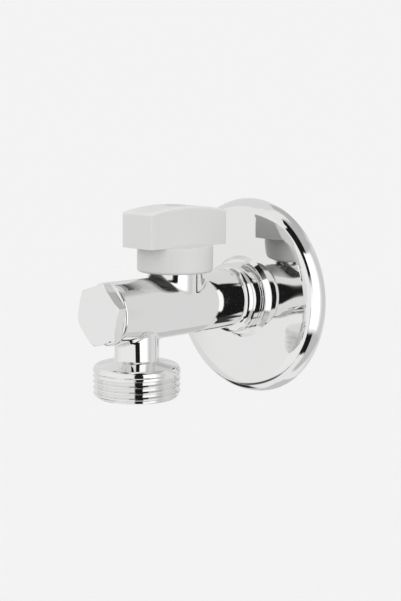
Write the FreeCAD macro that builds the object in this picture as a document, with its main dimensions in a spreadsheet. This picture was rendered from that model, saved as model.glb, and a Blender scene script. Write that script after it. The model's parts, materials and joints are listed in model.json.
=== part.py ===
"""Quarter-turn washing machine valve: wall rosette, angle body, ball, stem and plastic T handle.

Millimetres. The origin is where the inlet axis meets the wall. +Z is up, +Y points into the wall,
so the valve stands out from the wall along -Y, with its outlet pointing down and its handle on top.
"""

import FreeCAD, Part
import math
import os

import Sketcher
from FreeCAD import Rotation, Vector

# Driving dimensions, each with its alias, its value and what it is.
SIZES = [
    ("rosette_radius", 31.9, "outside of the rosette's rim at the wall"),
    ("rosette_depth", 4.6, "wall to the front of the rosette's flat face"),
    ("rosette_sheet", 0.8, "thickness of the rosette's pressed sheet"),
    ("rosette_rim_width", 2.4, "rim, from its outside to the bend beside the face"),
    ("rosette_rim_lean", 0.5, "rim's lean inward at half its depth"),
    ("rosette_rim_round", 6.0, "rounding of the rim from bend to wall"),
    ("rosette_bend_round", 0.4, "rounding of the bend between face and rim"),
    ("rosette_edge_width", 1.4, "sloping edge of the face, from the bend inward"),
    ("rosette_edge_fall", 0.42, "bend behind the flat face"),
    ("rosette_edge_round", 8.5, "rounding from the flat face to its sloping edge"),
    ("rosette_hub_radius", 13.4, "foot of the raised ring around the rosette's hole"),
    ("rosette_hub_slope", 1.1, "raised ring's narrowing to its top, on the radius"),
    ("rosette_hub_height", 1.6, "raised ring above the flat face"),
    ("rosette_hub_round", 0.5, "rounding of the raised ring's top edge"),
    ("rosette_hole_clearance", 0.25, "rosette's hole over the inlet thread, on the radius"),
    ("inlet_thread_radius", 10.4775, "G 1/2 inlet thread, over its crests"),
    ("inlet_thread_length", 13.0, "threaded length of the inlet tail"),
    ("inlet_reach", 12.0, "inlet tail beyond the wall plane"),
    ("inlet_relief_depth", 1.2, "undercut between collar and thread, on the radius"),
    ("inlet_bore_radius", 4.6, "waterway through the inlet tail"),
    ("collar_rise", 1.9, "collar that presses on the rosette, beyond the tube, on the radius"),
    ("collar_length", 6.2, "collar along the inlet axis"),
    ("collar_slope", 1.1, "collar's sloping front along the inlet axis"),
    ("collar_round", 3.2, "rounding of the collar's front"),
    ("collar_edge", 0.2, "rounding of the collar's back edge"),
    ("stem_from_collar", 21.9, "collar's front to the stem axis"),
    ("outlet_from_stem", 15.7, "stem axis to the outlet axis"),
    ("front_from_outlet", 12.4, "outlet axis to the tube's front face"),
    ("tube_wall", 2.2, "wall of the tube around the ball chamber"),
    ("tube_front_round", 0.9, "rounding of the tube's front edge"),
    ("outlet_neck_radius", 6.75, "outlet neck"),
    ("outlet_neck_length", 5.4, "outlet neck below the tube"),
    ("outlet_shoulder", 1.9, "height of the sloping shoulder above the outlet thread"),
    ("outlet_shoulder_foot", 0.9, "rounding between outlet neck and shoulder"),
    ("outlet_shoulder_round", 1.7, "rounding of the shoulder's rim"),
    ("outlet_thread_radius", 13.2205, "G 3/4 outlet thread, over its crests"),
    ("outlet_thread_length", 9.4, "threaded height of the outlet"),
    ("outlet_bore_radius", 4.9, "waterway through the outlet"),
    ("thread_chamfer", 1.1, "lead-in chamfer of both threads"),
    ("boss_set_in", 0.9, "stem boss inside the tube's width, on the radius"),
    ("boss_height", 5.4, "stem boss above the tube"),
    ("body_fillet", 1.5, "blends of boss and outlet neck into the tube"),
    ("ball_radius", 6.9, "ball"),
    ("ball_bore_radius", 4.25, "waterway through the ball"),
    ("ball_clearance", 0.3, "chamber around the ball, on the radius"),
    ("slot_width", 3.1, "driving slot in the ball's top"),
    ("slot_depth", 1.8, "driving slot below the ball's top"),
    ("seat_gap", 0.08, "seat rings off the ball's surface"),
    ("seat_set_in", 0.35, "seat ring's back inside the ball's end"),
    ("seat_width", 3.2, "seat rings along the inlet axis"),
    ("seat_lip", 0.35, "seat ring's bore over the ball's bore, on the radius"),
    ("retainer_length", 2.9, "screwed ring that holds the seats"),
    ("retainer_slot", 1.6, "spanner slots across the screwed ring"),
    ("fit_gap", 0.05, "gap between fixed pieces that fit together"),
    ("turn_gap", 0.1, "gap between turning pieces, on the radius"),
    ("plug_flats", 17.0, "front plug's hexagon across its flats"),
    ("plug_hex_length", 3.0, "front plug's hexagon along the axis"),
    ("plug_turn", 17.0, "degrees that the tightened hexagon's corner stands above level"),
    ("plug_bevel", 30.0, "degrees of the bevel turned on the hexagon's front"),
    ("plug_bevel_start", 0.35, "bevel's inner edge outside the flats, on the radius"),
    ("plug_spigot_length", 5.0, "front plug's screwed spigot"),
    ("plug_step", 0.5, "spigot's bore over the ball chamber, on the radius"),
    ("ring_section", 1.3, "section of the plug's sealing ring"),
    ("stem_radius", 4.0, "stem below its collar"),
    ("stem_land", 2.4, "metal between the ball chamber and the gland"),
    ("stem_collar_width", 1.7, "stem's collar beyond the stem, on the radius"),
    ("stem_collar_height", 1.4, "stem's collar along the stem"),
    ("stem_top_radius", 3.5, "stem above its collar"),
    ("stem_square_height", 6.6, "square above the gland nut"),
    ("stem_ring_section", 1.16, "section of the stem's sealing rings"),
    ("stem_ring_spacing", 2.0, "between the two sealing rings"),
    ("washer_thickness", 0.5, "slip washer between stem collar and gland nut"),
    ("gland_flats", 13.0, "gland nut's hexagon across its flats"),
    ("gland_hex_height", 2.0, "gland nut's hexagon above the boss"),
    ("skirt_wall", 1.3, "wall of the handle's round skirt"),
    ("skirt_gap", 1.3, "tube to the skirt's lower edge"),
    ("skirt_height", 7.9, "handle's skirt"),
    ("skirt_clearance", 0.45, "stop ribs in the skirt off the boss, on the radius"),
    ("skirt_round", 0.9, "rounding of the skirt's lower edge"),
    ("bar_length", 32.0, "handle's bar"),
    ("bar_width", 13.2, "handle's bar"),
    ("bar_height", 10.6, "handle's bar at its ends"),
    ("bar_crown", 1.8, "rise of the bar's top to its middle"),
    ("bar_corner", 0.9, "rounding of the bar's upright corners"),
    ("bar_edge", 0.8, "rounding of the bar's top edges"),
    ("bar_wall", 1.6, "wall of the hollow bar at its sides and ends"),
    ("bar_roof", 2.2, "hollow bar's top at its ends"),
    ("bar_room", 2.6, "hollow in each end of the bar, along the bar"),
    ("cap_radius", 3.0, "cap over the handle's screw"),
    ("cap_height", 1.7, "cap over the handle's screw"),
    ("cap_sink", 0.45, "cap below the crown of the bar"),
    ("screw_radius", 2.0, "shank of the handle's screw"),
    ("screw_length", 9.0, "shank of the handle's screw"),
    ("screw_head_height", 2.0, "head of the handle's screw"),
    ("screw_thread", 0.3, "thread depth of the handle's screw"),
    ("screw_floor", 1.2, "plastic between the stem's head and the screw's head"),
    ("screw_drive", 0.9, "cross recess of the handle's screw"),
    ("lug_rise", 1.4, "stop lug beyond the boss, on the radius"),
    ("lug_room", 0.5, "skirt's bore over the stop lug, on the radius"),
    ("lug_height", 3.0, "stop lug along the boss"),
    ("lug_angle", 20.0, "degrees that the stop lug spans"),
    ("rib_angle", 12.0, "degrees that each stop rib in the skirt spans"),
    ("stop_margin", 2.0, "degrees left between lug and stop at each end"),
    ("handle_travel", 90.0, "degrees from open to shut"),
]

doc = FreeCAD.newDocument("washing_machine_valve")
sheet = doc.addObject("Spreadsheet::Sheet", "dims")
for row, (alias, value, meaning) in enumerate(SIZES, start=1):
    sheet.set(f"A{row}", meaning)
    sheet.set(f"B{row}", str(value))
    sheet.setAlias(f"B{row}", alias)
doc.recompute()

# How far a cutting shape runs past the metal that it cuts.
OVERCUT = "1"
FULL_TURN = 360
HEX_CORNERS = 6


class Names(dict):
    """Formulas by name, so that a formula can be written with the names of the ones before it."""

    def __missing__(self, name):
        return f"dims.{name}"


# Formulas that several pieces share. Distances out from the wall end in _out and heights in _z.
F = Names()


def formula(text):
    """The text with each {name} replaced by that named formula or driving dimension."""
    return "(" + text.format_map(F) + ")"


def share(name, text):
    F[name] = formula(text)


def number(text):
    """A formula's value as the sheet stands."""
    value = sheet.evalExpression(formula(text))
    return float(getattr(value, "Value", value))


share("collar_rear_out", "{rosette_depth} + {rosette_hub_height}")
share("collar_front_out", "{collar_rear_out} + {collar_length}")
share("stem_out", "{collar_front_out} + {stem_from_collar}")
share("outlet_out", "{stem_out} + {outlet_from_stem}")
share("tube_front_out", "{outlet_out} + {front_from_outlet}")
share("chamber_radius", "{ball_radius} + {ball_clearance}")
share("tube_radius", "{chamber_radius} + {tube_wall}")
share("collar_radius", "{tube_radius} + {collar_rise}")
share("relief_radius", "{inlet_thread_radius} - {inlet_relief_depth}")
share("seat_radius", "{ball_radius} + {seat_gap}")
share("seat_bore_radius", "{ball_bore_radius} + {seat_lip}")
share("seat_back", "{seat_radius} - {seat_set_in}")
share("seat_rear_out", "{stem_out} - {seat_back}")
share("seat_front_out", "{stem_out} + {seat_back}")
share("plug_bore_radius", "{chamber_radius} + {plug_step}")
share("plug_seat_out", "{tube_front_out} - {plug_spigot_length} - 4 * {fit_gap}")
share("shoulder_z", "-({tube_radius} + {outlet_neck_length})")
share("outlet_thread_z", "{shoulder_z} - {outlet_shoulder}")
share("outlet_z", "{outlet_thread_z} - {outlet_thread_length}")
share("boss_z", "{tube_radius} + {boss_height}")
share("boss_radius", "{tube_radius} - {boss_set_in}")
share("gland_floor_z", "{chamber_radius} + {stem_land}")
share("gland_radius", "{stem_radius} + {stem_collar_width} + 3 * {turn_gap}")
share("stem_foot_z", "{chamber_radius} + {turn_gap}")
share("stem_collar_z", "{gland_floor_z} + {turn_gap}")
share("washer_z", "{stem_collar_z} + {stem_collar_height} + {fit_gap}")
share("gland_foot_z", "{washer_z} + {washer_thickness} + {fit_gap}")
share("gland_top_z", "{boss_z} + {gland_hex_height}")
share("gland_bore_radius", "{stem_top_radius} + {turn_gap}")
share("stem_square", "2 * ({stem_top_radius} - {turn_gap}) * cos(45 deg)")
share("tang_half_width", "{slot_width} / 2 - {turn_gap}")
share("tang_reach", "{seat_back} - {seat_width} - 3 * {turn_gap}")
share("tang_half_length", "sqrt({tang_reach}^2 - {tang_half_width}^2)")
share("square_z", "{gland_top_z} + 2 * {turn_gap}")
share("stem_top_z", "{square_z} + {stem_square_height}")
share("skirt_z", "{tube_radius} + {skirt_gap}")
share("bar_z", "{skirt_z} + {skirt_height}")
share("bar_shoulder_z", "{bar_z} + {bar_height}")
share("crown_z", "{bar_shoulder_z} + {bar_crown}")
share("cap_top_z", "{crown_z} - {cap_sink}")
share("cap_foot_z", "{cap_top_z} - {cap_height}")
share("screw_head_z", "{stem_top_z} + 2 * {turn_gap} + {screw_floor}")
share("lug_radius", "{boss_radius} + {lug_rise}")
share("skirt_bore_radius", "{lug_radius} + {lug_room}")
share("skirt_radius", "{skirt_bore_radius} + {skirt_wall}")
share("ceiling_z", "{gland_top_z} + 3 * {turn_gap}")
share("lug_z", "{boss_z} - {lug_height} - {fit_gap}")


def plane_of(body, role):
    return next(f for f in body.Origin.OriginFeatures if f.Role == role)


def new_body(label):
    body = doc.addObject("PartDesign::Body", label)
    body.Label = label
    return body


def new_sketch(body, name, role="YZ_Plane", along=None, beyond=None, turn=None):
    """A sketch on one of the body's planes, moved along the plane, off it, or turned about its upright."""
    sketch = body.newObject("Sketcher::SketchObject", name)
    sketch.AttachmentSupport = (plane_of(body, role), [""])
    sketch.MapMode = "FlatFace"
    if turn is not None:
        sketch.AttachmentOffset = FreeCAD.Placement(Vector(), Rotation(Vector(0, 1, 0), number(turn)))
    if along is not None:
        sketch.setExpression("AttachmentOffset.Base.x", formula(along))
    if beyond is not None:
        sketch.setExpression("AttachmentOffset.Base.z", formula(beyond))
    return sketch


def pin_point(sketch, geometry, place, u, v, name):
    """Ties a point of the sketch to formulas for its two coordinates."""
    for kind, text, axis in (("DistanceX", u, -2), ("DistanceY", v, -1)):
        if text == "0":
            sketch.addConstraint(Sketcher.Constraint("PointOnObject", geometry, place, axis))
            continue
        index = sketch.addConstraint(Sketcher.Constraint(kind, -1, 1, geometry, place, number(text)))
        sketch.renameConstraint(index, name + kind[-1])
        sketch.setExpression(f"Constraints.{name}{kind[-1]}", formula(text))


def set_radius(sketch, geometry, text, name):
    index = sketch.addConstraint(Sketcher.Constraint("Radius", geometry, number(text)))
    sketch.renameConstraint(index, name)
    sketch.setExpression(f"Constraints.{name}", formula(text))


def outline(sketch, corners):
    """A closed outline through corners (u, v) or (u, v, rounding), all given as formulas."""
    points = [Vector(number(c[0]), number(c[1]), 0) for c in corners]
    rounds = [c[2] if len(c) > 2 else None for c in corners]
    count = len(corners)
    entries, exits, centres = [], [], []
    for i, point in enumerate(points):
        back = (points[i - 1] - point).normalize()
        ahead = (points[(i + 1) % count] - point).normalize()
        if rounds[i] is None:
            entries.append(point)
            exits.append(point)
            centres.append(None)
            continue
        half = back.getAngle(ahead) / 2
        radius = number(rounds[i])
        entries.append(point + back * (radius / math.tan(half)))
        exits.append(point + ahead * (radius / math.tan(half)))
        centres.append(point + (back + ahead).normalize() * (radius / math.sin(half)))
    lines = [
        sketch.addGeometry(Part.LineSegment(exits[i], entries[(i + 1) % count]), False)
        for i in range(count)
    ]
    for i, (u, v) in enumerate(c[:2] for c in corners):
        before, after = lines[i - 1], lines[i]
        if rounds[i] is None:
            sketch.addConstraint(Sketcher.Constraint("Coincident", before, 2, after, 1))
            pin_point(sketch, after, 1, u, v, f"corner{i}")
            continue
        corner = sketch.addGeometry(Part.Point(points[i]), True)
        pin_point(sketch, corner, 1, u, v, f"corner{i}")
        sketch.addConstraint(Sketcher.Constraint("PointOnObject", corner, 1, before))
        sketch.addConstraint(Sketcher.Constraint("PointOnObject", corner, 1, after))
        turn = (entries[i] - centres[i]).cross(exits[i] - centres[i]).z
        first, last = (entries[i], exits[i]) if turn > 0 else (exits[i], entries[i])
        angles = [math.atan2(p.y - centres[i].y, p.x - centres[i].x) for p in (first, last)]
        circle = Part.Circle(centres[i], Vector(0, 0, 1), number(rounds[i]))
        arc = sketch.addGeometry(Part.ArcOfCircle(circle, angles[0], angles[1]), False)
        enter, leave = (1, 2) if turn > 0 else (2, 1)
        sketch.addConstraint(Sketcher.Constraint("Tangent", before, 2, arc, enter))
        sketch.addConstraint(Sketcher.Constraint("Tangent", arc, leave, after, 1))
        set_radius(sketch, arc, rounds[i], f"round{i}")


def disc(sketch, radius, v="0"):
    """A circle on the sketch's upright axis."""
    shape = Part.Circle(Vector(0, number(v), 0), Vector(0, 0, 1), number(radius))
    circle = sketch.addGeometry(shape, False)
    pin_point(sketch, circle, 3, "0", v, "centre")
    set_radius(sketch, circle, radius, "radius")


def polygon(sketch, flats, turn, v="0"):
    """A hexagon on the sketch's upright axis, by its width across flats and its turn in degrees."""
    corners = []
    for i in range(HEX_CORNERS):
        angle = f"({turn} + {i} * 360 / {HEX_CORNERS}) * 1 deg"
        reach = f"({flats}) / 2 / cos(180 deg / {HEX_CORNERS})"
        corners.append((f"{reach} * cos({angle})", f"{reach} * sin({angle}) + {v}"))
    outline(sketch, corners)


def rectangle(sketch, half_u, half_v, v="0"):
    """A rectangle on the sketch's upright axis."""
    low, high = f"{v} - ({half_v})", f"{v} + ({half_v})"
    outline(sketch, [(f"-({half_u})", low), (half_u, low), (half_u, high), (f"-({half_u})", high)])


def turned(body, kind, name, sketch, axis="H_Axis"):
    """Turns a sketch about one of its axes, to add metal (Revolution) or cut it (Groove)."""
    feature = body.newObject(f"PartDesign::{kind}", name)
    feature.Profile = sketch
    feature.ReferenceAxis = (sketch, [axis])
    feature.Angle = FULL_TURN
    doc.recompute()
    return feature


def extruded(body, kind, name, sketch, length, backwards=False, midplane=False):
    """Extrudes a sketch, to add metal (Pad) or cut it (Pocket)."""
    feature = body.newObject(f"PartDesign::{kind}", name)
    feature.Profile = sketch
    feature.setExpression("Length", formula(length))
    feature.Reversed = backwards
    feature.Midplane = midplane
    doc.recompute()
    return feature


def rounded(body, name, edges, radius):
    """Rounds the edges of the body's last feature that the test picks out."""
    shape = body.Tip.Shape
    picked = [f"Edge{i}" for i, edge in enumerate(shape.Edges, start=1) if edges(shape, edge)]
    if not picked:
        raise RuntimeError(f"{name} found no edge")
    base = body.Tip
    feature = body.newObject("PartDesign::Fillet", name)
    feature.Base = (base, picked)
    feature.setExpression("Radius", formula(radius))
    doc.recompute()
    return feature


NEAR = 1e-4


def cylinders_of(shape, edge):
    faces = shape.ancestorsOfType(edge, Part.Face)
    return [f.Surface.Radius for f in faces if isinstance(f.Surface, Part.Cylinder)]


def where_cylinders_meet(first, second):
    """Picks the edges between two cylinders of these radii."""
    wanted = sorted([number(first), number(second)])

    def test(shape, edge):
        radii = sorted(cylinders_of(shape, edge))
        return len(radii) == 2 and all(abs(a - b) < NEAR for a, b in zip(radii, wanted))

    return test


def upright_above(z):
    """Picks the upright straight edges above this height."""

    def test(shape, edge):
        ends = [v.Point for v in edge.Vertexes]
        if len(ends) != 2 or not isinstance(edge.Curve, Part.Line):
            return False
        level = math.hypot(ends[0].x - ends[1].x, ends[0].y - ends[1].y)
        return level < NEAR and min(p.z for p in ends) > number(z) - NEAR

    return test


def rim_above(z):
    """Picks every edge whose whole length lies at or above this height."""

    def test(shape, edge):
        return edge.BoundBox.ZMin > number(z) - NEAR

    return test


def primitive(kind, name, place, turn=None, **sizes):
    """A Part primitive with its sizes and its place given as formulas."""
    solid = doc.addObject(f"Part::{kind}", name)
    if turn is not None:
        solid.Placement = FreeCAD.Placement(Vector(), turn)
    for size, text in sizes.items():
        solid.setExpression(size, formula(text))
    for axis, text in zip("xyz", place):
        solid.setExpression(f"Placement.Base.{axis}", formula(text))
    return solid


# Turns a primitive's own axis from +Z to +Y.
ALONG_INLET = Rotation(Vector(1, 0, 0), -90)


def cut(name, base, *tools):
    """The base with each tool cut out of it. The last cut gets the name."""
    for i, tool in enumerate(tools, start=1):
        result = doc.addObject("Part::Cut", name if i == len(tools) else f"{name}_cut{i}")
        result.Base = base
        result.Tool = tool
        base = result
    base.Label = name
    return base


def make_valve_body():
    """Forged body: inlet tail, collar, tube, stem boss and outlet in one piece of brass."""
    body = new_body("valve_body")

    profile = new_sketch(body, "body_profile")
    outline(profile, [
        ("{inlet_reach}", "0"),
        ("{inlet_reach}", "{inlet_thread_radius} - {thread_chamfer}"),
        ("{inlet_reach} - {thread_chamfer}", "{inlet_thread_radius}"),
        ("{inlet_reach} - {inlet_thread_length}", "{inlet_thread_radius}"),
        ("{inlet_reach} - {inlet_thread_length}", "{relief_radius}"),
        ("-{collar_rear_out}", "{relief_radius}"),
        ("-{collar_rear_out}", "{collar_radius}", "{collar_edge}"),
        ("-{collar_front_out} + {collar_slope}", "{collar_radius}", "{collar_round}"),
        ("-{collar_front_out}", "{tube_radius}"),
        ("-{tube_front_out}", "{tube_radius}", "{tube_front_round}"),
        ("-{tube_front_out}", "0"),
    ])
    turned(body, "Revolution", "body_of_revolution", profile)

    outlet = new_sketch(body, "outlet_profile", along="-{outlet_out}")
    outline(outlet, [
        ("0", "0"),
        ("{outlet_neck_radius}", "0"),
        ("{outlet_neck_radius}", "{shoulder_z}", "{outlet_shoulder_foot}"),
        ("{outlet_thread_radius}", "{outlet_thread_z}", "{outlet_shoulder_round}"),
        ("{outlet_thread_radius}", "{outlet_z} + {thread_chamfer}"),
        ("{outlet_thread_radius} - {thread_chamfer}", "{outlet_z}"),
        ("0", "{outlet_z}"),
    ])
    turned(body, "Revolution", "outlet", outlet, "V_Axis")

    boss = new_sketch(body, "boss_circle", "XY_Plane")
    disc(boss, "{boss_radius}", "-{stem_out}")
    extruded(body, "Pad", "boss", boss, "{boss_z}")

    outlet_foot = where_cylinders_meet("{tube_radius}", "{outlet_neck_radius}")
    rounded(body, "outlet_blend", outlet_foot, "{body_fillet}")
    boss_foot = where_cylinders_meet("{tube_radius}", "{boss_radius}")
    rounded(body, "boss_blend", boss_foot, "{body_fillet}")

    waterway = new_sketch(body, "waterway_profile")
    outline(waterway, [
        ("{inlet_reach} + " + OVERCUT, "0"),
        ("{inlet_reach} + " + OVERCUT, "{inlet_bore_radius}"),
        ("-{seat_rear_out}", "{inlet_bore_radius}"),
        ("-{seat_rear_out}", "{chamber_radius}"),
        ("-{plug_seat_out}", "{chamber_radius}"),
        ("-{plug_seat_out}", "{plug_bore_radius}"),
        ("-{tube_front_out} - " + OVERCUT, "{plug_bore_radius}"),
        ("-{tube_front_out} - " + OVERCUT, "0"),
    ])
    turned(body, "Groove", "waterway", waterway)

    outlet_bore = new_sketch(body, "outlet_bore_circle", "XY_Plane")
    disc(outlet_bore, "{outlet_bore_radius}", "-{outlet_out}")
    extruded(body, "Pocket", "outlet_bore", outlet_bore, "-{outlet_z} + " + OVERCUT)

    gland = new_sketch(body, "gland_profile", along="-{stem_out}")
    outline(gland, [
        ("0", "0"),
        ("{stem_radius} + {turn_gap}", "0"),
        ("{stem_radius} + {turn_gap}", "{gland_floor_z}"),
        ("{gland_radius}", "{gland_floor_z}"),
        ("{gland_radius}", "{boss_z} + " + OVERCUT),
        ("0", "{boss_z} + " + OVERCUT),
    ])
    turned(body, "Groove", "gland_bore", gland, "V_Axis")

    lug = new_sketch(body, "lug_profile", along="-{stem_out}")
    outline(lug, [
        ("{gland_radius} + {fit_gap}", "{lug_z}"),
        ("{lug_radius}", "{lug_z}"),
        ("{lug_radius}", "{lug_z} + {lug_height}"),
        ("{gland_radius} + {fit_gap}", "{lug_z} + {lug_height}"),
    ])
    stop = turned(body, "Revolution", "stop_lug", lug, "V_Axis")
    stop.Midplane = True
    stop.setExpression("Angle", formula("{lug_angle}"))
    return body


def make_front_plug():
    """Hexagon plug that closes the tube's front, as it stands after tightening."""
    body = new_body("front_plug")
    hexagon = new_sketch(body, "plug_hexagon", "XZ_Plane", beyond="{tube_front_out}")
    polygon(hexagon, "{plug_flats}", "{plug_turn}")
    extruded(body, "Pad", "plug_head", hexagon, "{plug_hex_length}")

    spigot = new_sketch(body, "plug_spigot_circle", "XZ_Plane", beyond="{tube_front_out}")
    disc(spigot, "{plug_bore_radius} - {fit_gap}")
    extruded(body, "Pad", "plug_spigot", spigot, "{plug_spigot_length}", backwards=True)

    front = "-{tube_front_out} - {plug_hex_length}"
    start = "{plug_flats} / 2 + {plug_bevel_start}"
    reach = "{plug_flats} / 2 / cos(30 deg) + " + OVERCUT
    bevel = new_sketch(body, "plug_bevel_profile")
    outline(bevel, [
        (front, start),
        (f"{front} + ({reach} - ({start})) * tan({{plug_bevel}} * 1 deg)", reach),
        (f"{front} - {OVERCUT}", reach),
        (f"{front} - {OVERCUT}", start),
    ])
    turned(body, "Groove", "plug_bevel", bevel)

    groove = new_sketch(body, "plug_groove_profile")
    near = "-{tube_front_out} + {plug_spigot_length} / 2 - {ring_section} / 2 - 2 * {fit_gap}"
    far = "-{tube_front_out} + {plug_spigot_length} / 2 + {ring_section} / 2 + 2 * {fit_gap}"
    floor = "{plug_bore_radius} - {ring_section} - 2 * {fit_gap}"
    outline(groove, [
        (near, floor),
        (far, floor),
        (far, "{plug_bore_radius} + " + OVERCUT),
        (near, "{plug_bore_radius} + " + OVERCUT),
    ])
    turned(body, "Groove", "plug_groove", groove)
    return body


def make_plug_ring():
    """Sealing ring in the front plug's groove."""
    ring = primitive(
        "Torus", "plug_seal_ring", ("0", "-{tube_front_out} + {plug_spigot_length} / 2", "0"), ALONG_INLET,
        Radius1="{plug_bore_radius} - {ring_section} / 2 - {fit_gap}", Radius2="{ring_section} / 2",
    )
    return ring


def make_ball():
    """Ball with its waterway along the tube and its driving slot across it, as when open."""
    centre = ("0", "-{stem_out}", "0")
    ball = primitive("Sphere", "ball_blank", centre, Radius="{ball_radius}")
    bore = primitive(
        "Cylinder", "ball_bore", ("0", "-{stem_out} - {ball_radius} - " + OVERCUT, "0"), ALONG_INLET,
        Radius="{ball_bore_radius}", Height="2 * {ball_radius} + 2 * " + OVERCUT,
    )
    slot = primitive(
        "Box", "ball_slot",
        ("-{ball_radius}", "-{stem_out} - {slot_width} / 2", "{ball_radius} - {slot_depth}"),
        Length="2 * {ball_radius}", Width="{slot_width}", Height="{slot_depth} + " + OVERCUT,
    )
    return cut("ball", ball, bore, slot)


def make_seat(label, back):
    """Seat ring with its back at a given distance out from the wall, hollowed to the ball."""
    ring = primitive(
        "Cylinder", f"{label}_blank", ("0", back, "0"), ALONG_INLET,
        Radius="{chamber_radius} - {fit_gap}", Height="{seat_width}",
    )
    bore = primitive(
        "Cylinder", f"{label}_bore", ("0", back + " - " + OVERCUT, "0"), ALONG_INLET,
        Radius="{seat_bore_radius}", Height="{seat_width} + 2 * " + OVERCUT,
    )
    ball = primitive("Sphere", f"{label}_hollow", ("0", "-{stem_out}", "0"), Radius="{seat_radius}")
    return cut(label, ring, bore, ball)


def make_seat_retainer():
    """Screwed ring that holds the seats to the ball, with slots for a pin spanner."""
    back = "-{seat_front_out} - {retainer_length} - {fit_gap}"
    ring = primitive(
        "Cylinder", "retainer_blank", ("0", back, "0"), ALONG_INLET,
        Radius="{chamber_radius} - {fit_gap}", Height="{retainer_length}",
    )
    bore = primitive(
        "Cylinder", "retainer_bore", ("0", back + " - " + OVERCUT, "0"), ALONG_INLET,
        Radius="{seat_bore_radius}", Height="{retainer_length} + 2 * " + OVERCUT,
    )
    slot = primitive(
        "Box", "retainer_slots", ("-{chamber_radius}", back, "-{retainer_slot} / 2"),
        Length="2 * {chamber_radius}", Width="{retainer_length} / 2", Height="{retainer_slot}",
    )
    return cut("seat_retainer", ring, bore, slot)


def ring_heights():
    """Heights of the stem's two sealing rings, spread about the middle of the gland nut's bore."""
    middle = "({gland_foot_z} + {gland_top_z}) / 2"
    return [f"{middle} - {{stem_ring_spacing}} / 2", f"{middle} + {{stem_ring_spacing}} / 2"]


def make_stem():
    """Stem: tang in the ball's slot, collar under the gland nut, ring grooves and a square head."""
    body = new_body("stem")
    shaft = new_sketch(body, "stem_profile", along="-{stem_out}")
    outline(shaft, [
        ("0", "{stem_foot_z}"),
        ("{stem_radius}", "{stem_foot_z}"),
        ("{stem_radius}", "{stem_collar_z}"),
        ("{stem_radius} + {stem_collar_width}", "{stem_collar_z}"),
        ("{stem_radius} + {stem_collar_width}", "{stem_collar_z} + {stem_collar_height}"),
        ("{stem_top_radius}", "{stem_collar_z} + {stem_collar_height}"),
        ("{stem_top_radius}", "{square_z}"),
        ("0", "{square_z}"),
    ])
    turned(body, "Revolution", "stem_shaft", shaft, "V_Axis")

    for i, height in enumerate(ring_heights()):
        groove = new_sketch(body, f"stem_groove_profile{i}", along="-{stem_out}")
        floor = "{gland_bore_radius} - {stem_ring_section} - {turn_gap}"
        half = "({stem_ring_section} / 2 + {turn_gap})"
        outline(groove, [
            (floor, f"{height} - {half}"),
            ("{gland_bore_radius}", f"{height} - {half}"),
            ("{gland_bore_radius}", f"{height} + {half}"),
            (floor, f"{height} + {half}"),
        ])
        turned(body, "Groove", f"stem_groove{i}", groove, "V_Axis")

    square = new_sketch(body, "stem_square_outline", "XY_Plane", beyond="{square_z}")
    rectangle(square, "{stem_square} / 2", "{stem_square} / 2", "-{stem_out}")
    extruded(body, "Pad", "stem_head", square, "{stem_square_height}")

    tang = new_sketch(body, "stem_tang_outline", "XY_Plane", beyond="{stem_foot_z}")
    rectangle(tang, "{tang_half_length}", "{tang_half_width}", "-{stem_out}")
    extruded(
        body, "Pad", "stem_tang", tang,
        "{stem_foot_z} - ({ball_radius} - {slot_depth} + {turn_gap})", backwards=True,
    )

    tapped = new_sketch(body, "stem_tapped_circle", "XY_Plane", beyond="{stem_top_z}")
    disc(tapped, "{screw_radius} + {fit_gap} - {screw_thread}", "-{stem_out}")
    extruded(body, "Pocket", "stem_tapped_hole", tapped, "{screw_length}")
    return body


def make_stem_ring(label, height):
    """Sealing ring in one of the stem's grooves."""
    return primitive(
        "Torus", label, ("0", "-{stem_out}", height),
        Radius1="{gland_bore_radius} - {stem_ring_section} / 2 - {turn_gap} / 2",
        Radius2="{stem_ring_section} / 2",
    )


def make_slip_washer():
    """Washer that the stem's collar turns against."""
    blank = primitive(
        "Cylinder", "washer_blank", ("0", "-{stem_out}", "{washer_z}"),
        Radius="{gland_radius} - {turn_gap}", Height="{washer_thickness}",
    )
    hole = primitive(
        "Cylinder", "washer_hole", ("0", "-{stem_out}", "{washer_z} - " + OVERCUT),
        Radius="{gland_bore_radius}", Height="{washer_thickness} + 2 * " + OVERCUT,
    )
    return cut("slip_washer", blank, hole)


def make_gland_nut():
    """Nut that keeps the stem in its boss."""
    body = new_body("gland_nut")
    hexagon = new_sketch(body, "gland_hexagon", "XY_Plane", beyond="{boss_z}")
    polygon(hexagon, "{gland_flats}", "0", "-{stem_out}")
    extruded(body, "Pad", "gland_head", hexagon, "{gland_hex_height}")
    spigot = new_sketch(body, "gland_spigot_circle", "XY_Plane", beyond="{boss_z}")
    disc(spigot, "{gland_radius} - {fit_gap}", "-{stem_out}")
    extruded(body, "Pad", "gland_spigot", spigot, "{boss_z} - {gland_foot_z}", backwards=True)
    bore = new_sketch(body, "gland_bore_circle", "XY_Plane", beyond="{gland_top_z}")
    disc(bore, "{gland_bore_radius}", "-{stem_out}")
    extruded(body, "Pocket", "gland_hole", bore, "{gland_top_z} - {gland_foot_z} + " + OVERCUT)
    return body


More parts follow.
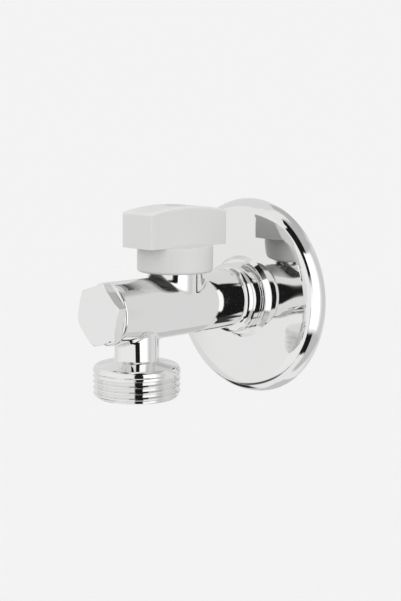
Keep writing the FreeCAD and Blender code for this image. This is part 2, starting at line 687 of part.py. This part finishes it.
def crowned_outline(sketch):
    """Side view of the handle's bar: level foot, upright ends and a crowned top."""
    half = "{bar_length} / 2"
    foot, ends = "{bar_z}", "{bar_shoulder_z}"
    radius = "(({bar_length} / 2)^2 + {bar_crown}^2) / (2 * {bar_crown})"
    left, right, low, high = -number(half), number(half), number(foot), number(ends)
    centre = Vector(0, number("{crown_z}") - number(radius), 0)
    corners = [Vector(left, high, 0), Vector(left, low, 0), Vector(right, low, 0), Vector(right, high, 0)]
    lines = [sketch.addGeometry(Part.LineSegment(corners[i], corners[i + 1]), False) for i in range(3)]
    circle = Part.Circle(centre, Vector(0, 0, 1), number(radius))
    start = math.atan2(high - centre.y, right - centre.x)
    crown = sketch.addGeometry(Part.ArcOfCircle(circle, start, math.pi - start), False)
    for before, after in ((0, 1), (1, 2)):
        sketch.addConstraint(Sketcher.Constraint("Coincident", lines[before], 2, lines[after], 1))
    sketch.addConstraint(Sketcher.Constraint("Coincident", lines[2], 2, crown, 1))
    sketch.addConstraint(Sketcher.Constraint("Coincident", crown, 2, lines[0], 1))
    pin_point(sketch, lines[0], 1, f"-{half}", ends, "upper_left")
    pin_point(sketch, lines[1], 1, f"-{half}", foot, "lower_left")
    pin_point(sketch, lines[2], 1, half, foot, "lower_right")
    pin_point(sketch, crown, 1, half, ends, "upper_right")
    set_radius(sketch, crown, radius, "crown")


def make_handle():
    """Moulded hollow T handle: a crowned bar on a round skirt that covers the boss and the gland nut."""
    body = new_body("handle")
    bar = new_sketch(body, "bar_outline", along="-{stem_out}")
    crowned_outline(bar)
    extruded(body, "Pad", "bar", bar, "{bar_width}", midplane=True)
    rounded(body, "bar_corners", upright_above("{bar_z}"), "{bar_corner}")
    rounded(body, "bar_top_edges", rim_above("{bar_shoulder_z} - {bar_corner} / 2"), "{bar_edge}")

    skirt = new_sketch(body, "skirt_profile", along="-{stem_out}")
    outline(skirt, [
        ("0", "{skirt_z}"),
        ("{skirt_radius}", "{skirt_z}", "{skirt_round}"),
        ("{skirt_radius}", "{bar_z}"),
        ("0", "{bar_z}"),
    ])
    turned(body, "Revolution", "skirt", skirt, "V_Axis")

    hollow = new_sketch(body, "hollow_profile", along="-{stem_out}")
    outline(hollow, [
        ("0", "{skirt_z} - " + OVERCUT),
        ("{skirt_bore_radius}", "{skirt_z} - " + OVERCUT),
        ("{skirt_bore_radius}", "{ceiling_z}"),
        ("0", "{ceiling_z}"),
    ])
    turned(body, "Groove", "skirt_hollow", hollow, "V_Axis")

    stop_reach = "({handle_travel} + {lug_angle} + {rib_angle}) / 2 + {stop_margin}"
    for name, sign in (("open", "-"), ("shut", "+")):
        rib = new_sketch(
            body, f"{name}_stop_profile", along="-{stem_out}",
            turn=f"{{handle_travel}} / 2 {sign} ({stop_reach})",
        )
        outline(rib, [
            ("{boss_radius} + {skirt_clearance}", "{lug_z}"),
            ("{skirt_radius} - {skirt_wall} / 2", "{lug_z}"),
            ("{skirt_radius} - {skirt_wall} / 2", "{ceiling_z} + {fit_gap}"),
            ("{boss_radius} + {skirt_clearance}", "{ceiling_z} + {fit_gap}"),
        ])
        stop = turned(body, "Revolution", f"{name}_stop", rib, "V_Axis")
        stop.Midplane = True
        stop.setExpression("Angle", formula("{rib_angle}"))

    middle = "{bar_length} / 2 - {bar_wall} - {bar_room} / 2"
    for name, sign in (("front", "-"), ("rear", "+")):
        room = new_sketch(body, f"{name}_room_outline", "XY_Plane", beyond="{bar_z}")
        centre = f"-{{stem_out}} {sign} ({middle})"
        rectangle(room, "{bar_width} / 2 - {bar_wall}", "{bar_room} / 2", centre)
        extruded(body, "Pocket", f"{name}_room", room, "{bar_height} - {bar_roof}", backwards=True)

    screw_hole = new_sketch(body, "screw_hole_profile", along="-{stem_out}")
    outline(screw_hole, [
        ("0", "{stem_top_z}"),
        ("{screw_radius} + 2 * {turn_gap}", "{stem_top_z}"),
        ("{screw_radius} + 2 * {turn_gap}", "{screw_head_z}"),
        ("{cap_radius} + {fit_gap}", "{screw_head_z}"),
        ("{cap_radius} + {fit_gap}", "{crown_z} + " + OVERCUT),
        ("0", "{crown_z} + " + OVERCUT),
    ])
    turned(body, "Groove", "screw_hole", screw_hole, "V_Axis")

    socket = new_sketch(body, "socket_outline", "XY_Plane", beyond="{gland_top_z}")
    rectangle(socket, "{stem_square} / 2 + {fit_gap}", "{stem_square} / 2 + {fit_gap}", "-{stem_out}")
    extruded(
        body, "Pocket", "stem_socket", socket,
        "{stem_top_z} - {gland_top_z} + 2 * {turn_gap}", backwards=True,
    )
    return body


def make_handle_screw():
    """Cross-recessed screw that holds the handle on the stem."""
    body = new_body("handle_screw")
    profile = new_sketch(body, "screw_profile", along="-{stem_out}")
    head = "{screw_head_z} + {fit_gap}"
    crest = f"{head} + {{screw_head_height}}"
    shank = "{screw_radius} - {screw_thread}"
    outline(profile, [
        ("0", f"{head} - {{screw_length}}"),
        (shank, f"{head} - {{screw_length}}"),
        (shank, head),
        ("{cap_radius} - 2 * {turn_gap}", head),
        ("{cap_radius} - 2 * {turn_gap}", crest, "{screw_head_height} / 2"),
        ("0", crest),
    ])
    turned(body, "Revolution", "screw_blank", profile, "V_Axis")
    long, short = "{cap_radius} / 2", "{screw_drive} / 2"
    for i, (half_x, half_y) in enumerate(((long, short), (short, long))):
        slot = new_sketch(body, f"screw_slot_outline{i}", "XY_Plane", beyond=crest)
        rectangle(slot, half_x, half_y, "-{stem_out}")
        extruded(body, "Pocket", f"screw_slot{i}", slot, "{screw_head_height} / 2")
    return body


def make_handle_cap():
    """Push-in cap over the handle's screw."""
    body = new_body("handle_cap")
    profile = new_sketch(body, "cap_profile", along="-{stem_out}")
    outline(profile, [
        ("0", "{cap_foot_z}"),
        ("{cap_radius}", "{cap_foot_z}"),
        ("{cap_radius}", "{cap_top_z}", "{cap_sink}"),
        ("0", "{cap_top_z}"),
    ])
    turned(body, "Revolution", "cap", profile, "V_Axis")
    return body


def make_rosette():
    """Pressed wall plate: raised ring at the hole, flat face, sloping edge, sharp bend and full rim."""
    body = new_body("rosette")
    profile = new_sketch(body, "rosette_profile")
    hole = "{inlet_thread_radius} + {rosette_hole_clearance}"
    hub = "{rosette_hub_radius} - {rosette_hub_slope}"
    bend = "{rosette_radius} - {rosette_rim_width}"
    flat = "{rosette_radius} - {rosette_rim_width} - {rosette_edge_width}"
    lean = "{rosette_radius} - {rosette_rim_lean}"
    inside = "{rosette_sheet}"
    outline(profile, [
        ("-{collar_rear_out}", hole),
        ("-{collar_rear_out}", hub, "{rosette_hub_round}"),
        ("-{rosette_depth}", "{rosette_hub_radius}"),
        ("-{rosette_depth}", flat, "{rosette_edge_round}"),
        ("-{rosette_depth} + {rosette_edge_fall}", bend, "{rosette_bend_round}"),
        ("-{rosette_depth} / 2", lean, "{rosette_rim_round}"),
        ("0", "{rosette_radius}"),
        ("0", f"{{rosette_radius}} - {inside}"),
        ("-{rosette_depth} / 2", f"{lean} - {inside}", "{rosette_rim_round} - 3 * " + inside),
        (f"-{{rosette_depth}} + {{rosette_edge_fall}} + {inside}", f"{bend} - {inside} / 2"),
        (f"-{{rosette_depth}} + {inside}", flat),
        (f"-{{rosette_depth}} + {inside}", f"{{rosette_hub_radius}} - {inside}"),
        (f"-{{collar_rear_out}} + {inside}", f"{hub} - {inside}"),
        (f"-{{collar_rear_out}} + {inside}", hole),
    ])
    turned(body, "Revolution", "rosette_sheet", profile)
    return body


ring_low, ring_high = ring_heights()
nodes = [
    make_valve_body(),
    make_front_plug(),
    make_plug_ring(),
    make_ball(),
    make_seat("rear_seat", "-{seat_rear_out} - {seat_width}"),
    make_seat("front_seat", "-{seat_front_out}"),
    make_seat_retainer(),
    make_stem(),
    make_stem_ring("stem_ring_lower", ring_low),
    make_stem_ring("stem_ring_upper", ring_high),
    make_slip_washer(),
    make_gland_nut(),
    make_handle(),
    make_handle_screw(),
    make_handle_cap(),
    make_rosette(),
]
doc.recompute()

for thing in doc.Objects:
    if {"Invalid", "Error"} & set(thing.State):
        raise RuntimeError(f"{thing.Name} failed: {thing.State}")
os.makedirs("parts", exist_ok=True)
for node in nodes:
    if node.Shape.isNull() or not node.Shape.isValid():
        raise RuntimeError(f"{node.Label} has no valid shape")
    node.Shape.exportStep(f"parts/{node.Label}.step")
    print(node.Label, len(node.Shape.Solids), "solid", round(node.Shape.Volume, 1), "mm3")
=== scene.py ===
import json
import math

import bpy
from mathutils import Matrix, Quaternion, Vector


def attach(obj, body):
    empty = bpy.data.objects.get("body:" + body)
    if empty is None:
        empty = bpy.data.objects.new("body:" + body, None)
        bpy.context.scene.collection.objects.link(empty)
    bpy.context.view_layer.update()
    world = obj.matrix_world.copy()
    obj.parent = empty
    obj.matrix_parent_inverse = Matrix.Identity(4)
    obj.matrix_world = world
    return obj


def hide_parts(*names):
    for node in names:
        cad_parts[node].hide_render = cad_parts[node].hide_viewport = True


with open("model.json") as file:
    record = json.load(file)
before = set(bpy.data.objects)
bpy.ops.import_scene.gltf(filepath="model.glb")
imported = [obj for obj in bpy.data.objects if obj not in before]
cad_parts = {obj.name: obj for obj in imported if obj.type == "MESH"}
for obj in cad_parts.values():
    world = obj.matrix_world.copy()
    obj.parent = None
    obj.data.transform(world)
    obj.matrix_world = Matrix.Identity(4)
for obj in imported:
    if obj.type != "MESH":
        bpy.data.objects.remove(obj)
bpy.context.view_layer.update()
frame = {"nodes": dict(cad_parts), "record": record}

nodes = frame["nodes"]
scene = bpy.context.scene
scene.view_settings.view_transform = "Standard"
MM = 0.001
FULL_TURN = 2 * math.pi

# Camera at the photograph's angle.
CAMERA_AT = Vector((259.0, -279.1, 53.8)) * MM
CAMERA_AIM = Vector((8.21, -31.26, 2.08)) * MM
CAMERA_ROLL = math.radians(0.45)
CAMERA_LENS = 69.7
CAMERA_SENSOR = 36
CAMERA_CLIP_START = 0.01

# Colours, as linear light.
CHROME = (0.86, 0.86, 0.855)
BRASS = (0.72, 0.53, 0.25)
SEAT_PLASTIC = (0.82, 0.82, 0.80)
RUBBER = (0.02, 0.02, 0.02)
STEEL = (0.55, 0.55, 0.56)
HANDLE_PLASTIC = (0.775, 0.775, 0.765)
# The cap's grey is darker than the handle's as painted shade of the recess the cap sits in.
CAP_PAINTED_SHADE_PLASTIC = (0.60, 0.60, 0.59)

# Chrome: scale and detail of its clouds and of its polish, how far the clouds darken it, range of roughness.
CHROME_CLOUDS = (90, 4)
CHROME_POLISH = (260, 5)
CHROME_SHADE = 0.985
CHROME_ROUGHNESS = (0.02, 0.05)

# Moulded plastic: the same values, its fine relief, and the light that goes a little way into it.
PLASTIC_CLOUDS = (60, 4)
PLASTIC_GRAIN = (900, 3)
PLASTIC_SHADE = 0.97
PLASTIC_ROUGHNESS = (0.42, 0.55)
PLASTIC_RELIEF = (1800, 4)
PLASTIC_RELIEF_HEIGHT = 0.02 * MM
PLASTIC_DEPTH_SHARE = 0.15
PLASTIC_DEPTH = 1.5 * MM
PLASTIC_DEPTH_COLOURS = (1, 1, 1)

# Materials of the inside: detail of the noise, how far its clouds darken it, their size against the grain.
INSIDE_DETAIL = 4
INSIDE_SHADE = 0.9
INSIDE_CLOUD_SIZE = 4

# Threads, which the CAD leaves as plain walls with a lead-in chamfer.
THREAD_PITCH = 1.814 * MM
THREAD_DEPTH = 1.1 * MM
THREAD_STEPS_PER_PITCH = 22
THREAD_STEPS_AROUND = 220
THREAD_SLOPE_STEP = THREAD_PITCH / 400
ON_WALL = 0.005 * MM

# Rounding of the joint between tube and boss, from nought to full between two heights, in the shading only.
JOINT_SOFTNESS = 1.5 * MM
JOINT_HEIGHTS = (3 * MM, 6 * MM)
JOINT_SAMPLES = 8

# Fall of the rosette's face between two radii, in the shading only.
DISH_FALL = 0.24 * MM
DISH_RADII = (18 * MM, 30 * MM)
ACROSS_ROSETTE = (1, 0, 1)
FULL_HEIGHT = 1.0

# A pale room with a pale floor. The floor's own glow makes up for what the light on it leaves dark.
ROOM_LIGHT = 0.896
FLOOR_Z = -0.45
FLOOR_HALF_WIDTH = 3.0
FLOOR_ALBEDO = 0.6
FLOOR_ROUGHNESS = 0.9
FLOOR_LIGHT = 0.905

# Light on matt surfaces: azimuth and elevation of its key side, and its levels away from there and near it.
KEY_SIDE = (43, 6)
SOFT_LIGHT = (0.34, 1.1)

# Cosines of the angle to the key side between which the light on matt surfaces grows.
SOFT_LIGHT_TURN = (-0.8, 0.15)

# The sphere around the valve that carries the zones. Chrome throws a share of their light on to plastic.
STUDIO_CENTRE = Vector((0.0, -30.0, 0.0)) * MM
STUDIO_RADIUS = 0.2
STUDIO_STEPS = 240
THROWN_LIGHT = 0.5

# Light and dark zones that only reflections see. A later zone lies over the ones before it.
# Each has its azimuths and elevations, its level and the width of its soft edge. Angles are in degrees.
# Azimuth 0 is straight in front of the valve, and 90 is to its right. The lens looks in through its gap.
ZONES = {
    "back_right": ((96, 126), (-62, 46), 0.68, 8),
    "back": ((122, 182), (-56, 54), 0.775, 6),
    "high_right": ((66, 128), (44, 84), 0.53, 6),
    "high_back": ((124, 216), (51, 73), 0.5, 10),
    "low_right": ((80, 126), (-76, -33), 0.57, 6),
    "left_back": ((181, 248), (-60, 20), 0.72, 6),
    "low_back": ((178, 222), (-78, -37), 0.6, 6),
    "left_top": ((210, 282), (20, 78), 0.78, 6),
    "left": ((248, 302), (-40, 20), 0.79, 8),
    "left_softbox": ((-36, 36), (-38, 40), 0.93, 4),
    "left_gap": ((-130, -78), (-58, -37), 0.03, 4),
    "front_low": ((-84, -16), (-47, -41), 0.08, 2),
    "gap_left": ((-2, 24), (-62, -54), 0.05, 3),
    "gap_middle": ((20, 62), (-57, -46), 0.05, 3),
    "gap_above": ((30, 74), (43, 84), 0.012, 3),
    "gap_below": ((38, 79), (-56, -34), 0.012, 4),
    "right_fade": ((88, 104), (-28, 42), 0.95, 12),
    "right_softbox": ((59.6, 96), (-30, 43), 1.3, 2),
    "lens_gap": ((38.5, 59.6), (-36, 46), 0.012, 2),
}


def make_camera():
    data = bpy.data.cameras.new("camera")
    data.lens = CAMERA_LENS
    data.sensor_width = CAMERA_SENSOR
    data.clip_start = CAMERA_CLIP_START
    camera = bpy.data.objects.new("camera", data)
    scene.collection.objects.link(camera)
    look = (CAMERA_AIM - CAMERA_AT).to_track_quat("-Z", "Y")
    camera.rotation_mode = "QUATERNION"
    camera.rotation_quaternion = look @ Quaternion((0, 0, 1), CAMERA_ROLL)
    camera.location = CAMERA_AT
    scene.camera = camera


def new_material(name):
    material = bpy.data.materials.new(name)
    material.use_nodes = True
    tree = material.node_tree
    shader = tree.nodes["Principled BSDF"]
    return material, tree, shader


def place_on_part(tree):
    coords = tree.nodes.new("ShaderNodeTexCoord")
    return coords.outputs["Object"]


def noise(tree, scale, detail):
    texture = tree.nodes.new("ShaderNodeTexNoise")
    texture.inputs["Scale"].default_value = scale
    texture.inputs["Detail"].default_value = detail
    tree.links.new(place_on_part(tree), texture.inputs["Vector"])
    return texture.outputs["Fac"]


def span(tree, value, low, high):
    """A value from nought to one, spread over the span from low to high."""
    scale = tree.nodes.new("ShaderNodeMapRange")
    scale.inputs["To Min"].default_value = low
    scale.inputs["To Max"].default_value = high
    tree.links.new(value, scale.inputs["Value"])
    return scale.outputs["Result"]


def smooth_span(tree, value, limits, low, high):
    """A smooth change from low to high while a value passes between two limits."""
    result = span(tree, value, low, high)
    result.node.interpolation_type = "SMOOTHSTEP"
    result.node.inputs["From Min"].default_value = limits[0]
    result.node.inputs["From Max"].default_value = limits[1]
    return result


def mix_colours(tree, factor, first, second):
    mix = tree.nodes.new("ShaderNodeMix")
    mix.data_type = "RGBA"
    mix.inputs["A"].default_value = (*first, 1)
    mix.inputs["B"].default_value = (*second, 1)
    tree.links.new(factor, mix.inputs["Factor"])
    return mix.outputs["Result"]


def bump(tree, shader, height, distance):
    node = tree.nodes.new("ShaderNodeBump")
    node.inputs["Strength"].default_value = 1.0
    node.inputs["Distance"].default_value = distance
    tree.links.new(height, node.inputs["Height"])
    tree.links.new(node.outputs["Normal"], shader.inputs["Normal"])


def varied(name, base, metallic, clouds, shade, grain, roughness):
    """A material that clouds darken here and there and a finer grain makes more or less rough."""
    material, tree, shader = new_material(name)
    shader.inputs["Metallic"].default_value = metallic
    darkest = [channel * shade for channel in base]
    tint = mix_colours(tree, noise(tree, *clouds), darkest, base)
    tree.links.new(tint, shader.inputs["Base Color"])
    tree.links.new(span(tree, noise(tree, *grain), *roughness), shader.inputs["Roughness"])
    return material


def chrome(name):
    return varied(name, CHROME, 1.0, CHROME_CLOUDS, CHROME_SHADE, CHROME_POLISH, CHROME_ROUGHNESS)


def inside(name, base, metallic, grain, roughness):
    """A material of the pieces inside the valve."""
    clouds = (grain / INSIDE_CLOUD_SIZE, INSIDE_DETAIL)
    return varied(name, base, metallic, clouds, INSIDE_SHADE, (grain, INSIDE_DETAIL), roughness)


def plastic(name, base):
    material = varied(name, base, 0.0, PLASTIC_CLOUDS, PLASTIC_SHADE, PLASTIC_GRAIN, PLASTIC_ROUGHNESS)
    tree = material.node_tree
    shader = tree.nodes["Principled BSDF"]
    shader.inputs["Subsurface Weight"].default_value = PLASTIC_DEPTH_SHARE
    shader.inputs["Subsurface Radius"].default_value = PLASTIC_DEPTH_COLOURS
    shader.inputs["Subsurface Scale"].default_value = PLASTIC_DEPTH
    bump(tree, shader, noise(tree, *PLASTIC_RELIEF), PLASTIC_RELIEF_HEIGHT)
    return material


def soften_joints(material):
    """Rounds the look of the sharp joint between the tube and the stem's boss, as in a forging."""
    tree = material.node_tree
    place = tree.nodes.new("ShaderNodeSeparateXYZ")
    tree.links.new(place_on_part(tree), place.inputs["Vector"])
    radius = smooth_span(tree, place.outputs["Z"], JOINT_HEIGHTS, 0.0, JOINT_SOFTNESS)
    rounded = tree.nodes.new("ShaderNodeBevel")
    rounded.samples = JOINT_SAMPLES
    tree.links.new(radius, rounded.inputs["Radius"])
    tree.links.new(rounded.outputs["Normal"], tree.nodes["Principled BSDF"].inputs["Normal"])


def dish_face(material):
    """Lets the rosette's face fall a little towards its rim, as a pressed sheet does."""
    tree = material.node_tree
    across = tree.nodes.new("ShaderNodeVectorMath")
    across.operation = "MULTIPLY"
    across.inputs[1].default_value = ACROSS_ROSETTE
    tree.links.new(place_on_part(tree), across.inputs[0])
    radius = tree.nodes.new("ShaderNodeVectorMath")
    radius.operation = "LENGTH"
    tree.links.new(across.outputs["Vector"], radius.inputs[0])
    height = smooth_span(tree, radius.outputs["Value"], DISH_RADII, DISH_FALL, 0.0)
    bump(tree, tree.nodes["Principled BSDF"], height, FULL_HEIGHT)


def direction(azimuth, elevation):
    a = math.radians(azimuth)
    e = math.radians(elevation)
    return Vector((math.sin(a) * math.cos(e), -math.cos(a) * math.cos(e), math.sin(e)))


def smooth_step(value):
    return value * value * (3 - 2 * value)


def grid_corners(rows, around):
    """The first corner of each face of a closed grid, and the corner to its right."""
    for i in range(rows):
        for j in range(around):
            yield i * around + j, i * around + (j + 1) % around


def within(angle, limits, soft):
    """One inside the limits and nought outside them, with a soft change between, in degrees."""
    from_middle = abs((angle - sum(limits) / 2 + 180) % 360 - 180)
    depth = (limits[1] - limits[0]) / 2 - from_middle
    return smooth_step(min(1.0, max(0.0, depth / soft + 0.5)))


def zone_level(azimuth, elevation):
    level = ROOM_LIGHT
    for azimuths, elevations, zone, soft in ZONES.values():
        weight = within(azimuth, azimuths, soft) * within(elevation, elevations, soft)
        level += (zone - level) * weight
    return level


def studio_material():
    """Shines at each point's level, and less for the light that chrome throws on to matt surfaces."""
    material = bpy.data.materials.new("studio")
    material.use_nodes = True
    tree = material.node_tree
    tree.nodes.clear()
    level = tree.nodes.new("ShaderNodeAttribute")
    level.attribute_name = "level"
    path = tree.nodes.new("ShaderNodeLightPath")
    shown = tree.nodes.new("ShaderNodeMath")
    shown.operation = "MULTIPLY"
    light = tree.nodes.new("ShaderNodeEmission")
    out = tree.nodes.new("ShaderNodeOutputMaterial")
    tree.links.new(level.outputs["Fac"], shown.inputs[0])
    tree.links.new(span(tree, path.outputs["Diffuse Depth"], 1.0, THROWN_LIGHT), shown.inputs[1])
    tree.links.new(shown.outputs["Value"], light.inputs["Strength"])
    tree.links.new(light.outputs["Emission"], out.inputs["Surface"])
    return material


def make_studio():
    """A sphere around the valve, with the studio's zones on it, that only reflections see."""
    around = STUDIO_STEPS
    rows = STUDIO_STEPS // 2
    points = []
    levels = []
    for i in range(rows + 1):
        elevation = 180 * i / rows - 90
        for j in range(around):
            azimuth = 360 * j / around - 180
            points.append(STUDIO_CENTRE + direction(azimuth, elevation) * STUDIO_RADIUS)
            levels.append(zone_level(azimuth, elevation))
    faces = [(k, k + around, right + around, right) for k, right in grid_corners(rows, around)]
    mesh = bpy.data.meshes.new("studio")
    mesh.from_pydata(points, [], faces)
    mesh.attributes.new("level", "FLOAT", "POINT").data.foreach_set("value", levels)
    mesh.materials.append(studio_material())
    studio = bpy.data.objects.new("studio", mesh)
    scene.collection.objects.link(studio)
    studio.visible_camera = False
    studio.visible_diffuse = False
    studio.visible_shadow = False
    studio.visible_transmission = False


def seen(tree):
    """One for the rays of the lens and of reflections, nought for those that light matt surfaces."""
    path = tree.nodes.new("ShaderNodeLightPath")
    either = tree.nodes.new("ShaderNodeMath")
    either.operation = "MAXIMUM"
    tree.links.new(path.outputs["Is Camera Ray"], either.inputs[0])
    tree.links.new(path.outputs["Is Glossy Ray"], either.inputs[1])
    return either.outputs[0]


def make_world():
    """A room that looks evenly pale and lights matt surfaces more from the key side."""
    world = bpy.data.worlds.new("studio")
    scene.world = world
    world.use_nodes = True
    tree = world.node_tree
    coords = tree.nodes.new("ShaderNodeTexCoord")
    towards_key = tree.nodes.new("ShaderNodeVectorMath")
    towards_key.operation = "DOT_PRODUCT"
    towards_key.inputs[1].default_value = direction(*KEY_SIDE)
    tree.links.new(coords.outputs["Generated"], towards_key.inputs[0])
    soft = smooth_span(tree, towards_key.outputs["Value"], SOFT_LIGHT_TURN, *SOFT_LIGHT)
    level = tree.nodes.new("ShaderNodeMix")
    level.inputs["B"].default_value = ROOM_LIGHT
    tree.links.new(seen(tree), level.inputs["Factor"])
    tree.links.new(soft, level.inputs["A"])
    background = tree.nodes["Background"]
    background.inputs["Color"].default_value = (1, 1, 1, 1)
    tree.links.new(level.outputs["Result"], background.inputs["Strength"])


def make_floor():
    """A pale floor that the camera and reflections see as bright as the room around it."""
    s = FLOOR_HALF_WIDTH
    z = FLOOR_Z
    mesh = bpy.data.meshes.new("floor")
    mesh.from_pydata([(-s, -s, z), (s, -s, z), (s, s, z), (-s, s, z)], [], [(0, 1, 2, 3)])
    floor = bpy.data.objects.new("floor", mesh)
    scene.collection.objects.link(floor)
    material, tree, shader = new_material("floor")
    shader.inputs["Base Color"].default_value = (FLOOR_ALBEDO, FLOOR_ALBEDO, FLOOR_ALBEDO, 1)
    shader.inputs["Roughness"].default_value = FLOOR_ROUGHNESS
    shader.inputs["Specular IOR Level"].default_value = 0.0
    shader.inputs["Emission Color"].default_value = (1, 1, 1, 1)
    glow = span(tree, seen(tree), 0.0, ROOM_LIGHT - FLOOR_ALBEDO * FLOOR_LIGHT)
    tree.links.new(glow, shader.inputs["Emission Strength"])
    mesh.materials.append(material)


def place_on(thread, point):
    """A point's distances along a thread's axis and out from it."""
    offset = point - thread["centre"]
    along = offset.dot(thread["axis"])
    return along, (offset - thread["axis"] * along).length


def thread_of(mount, points):
    """A mount's thread, and where along its axis the wall starts, the chamfer starts and the wall ends."""
    radius = mount["dims"]["r_mm"] * MM
    length = mount["dims"]["length_mm"] * MM
    thread = {"centre": Vector(mount["pos_m"]), "axis": Vector(mount["axis"]), "radius": radius}
    places = [place_on(thread, point) for point in points]
    wall = [along for along, out in places if abs(out - radius) < ON_WALL and abs(along) < length]
    thread["start"] = min(wall)
    thread["chamfer"] = max(wall)
    thread["tip"] = max(along for along, out in places if out < radius + ON_WALL)
    return thread


def wall_radius(thread, along):
    return thread["radius"] - max(0.0, along - thread["chamfer"])


def on_wall(thread, point):
    along, out = place_on(thread, point)
    return along > thread["start"] - ON_WALL and abs(out - wall_radius(thread, along)) < ON_WALL


def thread_radius(thread, along, turn):
    """Radius of a right-hand thread that grows from the wall's start and fades into its chamfer."""
    grown = smooth_step(min(1.0, (along - thread["start"]) / THREAD_PITCH))
    wave = 0.5 - 0.5 * math.cos(FULL_TURN * (along / THREAD_PITCH - turn))
    return min(thread["radius"] - THREAD_DEPTH * grown * wave, wall_radius(thread, along))


def thread_slopes(thread, along, turn, radius):
    """How fast a thread's radius grows along its axis and around it."""
    low = max(along - THREAD_SLOPE_STEP, thread["start"])
    high = min(along + THREAD_SLOPE_STEP, thread["tip"])
    rise = (thread_radius(thread, high, turn) - thread_radius(thread, low, turn)) / (high - low)
    step = THREAD_SLOPE_STEP / radius / FULL_TURN
    swing = thread_radius(thread, along, turn + step) - thread_radius(thread, along, turn - step)
    return rise, swing / (2 * THREAD_SLOPE_STEP)


def thread_surface(thread):
    """Points, their normals and the faces of a thread's surface."""
    axis = thread["axis"]
    side = axis.orthogonal().normalized()
    up = axis.cross(side)
    length = thread["tip"] - thread["start"]
    rows = round(length / THREAD_PITCH * THREAD_STEPS_PER_PITCH)
    around = THREAD_STEPS_AROUND
    points = []
    normals = []
    for i in range(rows + 1):
        along = thread["start"] + length * i / rows
        for j in range(around):
            turn = j / around
            angle = FULL_TURN * turn
            out = side * math.cos(angle) + up * math.sin(angle)
            onward = up * math.cos(angle) - side * math.sin(angle)
            radius = thread_radius(thread, along, turn)
            rise, swing = thread_slopes(thread, along, turn, radius)
            points.append(thread["centre"] + axis * along + out * radius)
            normals.append((out - axis * rise - onward * swing).normalized())
    faces = [(k, right, right + around, k + around) for k, right in grid_corners(rows, around)]
    return points, normals, faces


def make_threaded_body(material):
    """The valve's body with its plain thread walls replaced by threads."""
    source = nodes["valve_body"].data
    points = [vertex.co.copy() for vertex in source.vertices]
    mounts = {mount["name"]: mount for mount in frame["record"]["mounts"]}
    threads = [thread_of(mounts[name], points) for name in ("inlet_thread", "outlet_thread")]
    bare = [{i for i, point in enumerate(points) if on_wall(thread, point)} for thread in threads]
    faces = []
    normals = []
    for face in source.polygons:
        corners = set(face.vertices)
        if any(corners <= wall for wall in bare):
            continue
        faces.append(tuple(face.vertices))
        normals += [source.corner_normals[i].vector.copy() for i in face.loop_indices]
    for thread in threads:
        new_points, new_normals, new_faces = thread_surface(thread)
        first = len(points)
        points += new_points
        for face in new_faces:
            faces.append(tuple(first + i for i in face))
            normals += [new_normals[i] for i in face]
    mesh = bpy.data.meshes.new("valve_body_threaded")
    mesh.from_pydata(points, [], faces)
    mesh.polygons.foreach_set("use_smooth", [True] * len(faces))
    mesh.normals_split_custom_set(normals)
    mesh.materials.append(material)
    body = bpy.data.objects.new("valve_body_threaded", mesh)
    scene.collection.objects.link(body)
    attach(body, "valve")
    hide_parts("valve_body")


# Materials, and the nodes that wear them.
chrome_body = chrome("chrome_body")
soften_joints(chrome_body)
chrome_rosette = chrome("chrome_rosette")
dish_face(chrome_rosette)
chrome_plug = chrome("chrome_plug")
brass = inside("brass", BRASS, metallic=1.0, grain=1200, roughness=(0.2, 0.35))
seat = inside("seat_plastic", SEAT_PLASTIC, metallic=0.0, grain=800, roughness=(0.35, 0.5))
rubber = inside("seal_rubber", RUBBER, metallic=0.0, grain=1500, roughness=(0.5, 0.7))
steel = inside("screw_steel", STEEL, metallic=1.0, grain=1500, roughness=(0.25, 0.4))
handle_plastic = plastic("handle_plastic", HANDLE_PLASTIC)
# The cap's darker grey is painted shade of its recess, not a plastic of its own colour.
cap_plastic = plastic("cap_plastic", CAP_PAINTED_SHADE_PLASTIC)
FINISH = {
    "valve_body": chrome_body, "front_plug": chrome_plug, "rosette": chrome_rosette, "ball": chrome_plug,
    "stem": brass, "gland_nut": brass, "seat_retainer": brass,
    "rear_seat": seat, "front_seat": seat, "slip_washer": seat,
    "plug_seal_ring": rubber, "stem_ring_lower": rubber, "stem_ring_upper": rubber,
    "handle": handle_plastic, "handle_cap": cap_plastic, "handle_screw": steel,
}
for name, material in FINISH.items():
    slots = nodes[name].data.materials
    slots.clear()
    slots.append(material)

# The threaded body and the studio around the valve.
make_threaded_body(chrome_body)
make_camera()
make_world()
make_floor()
make_studio()
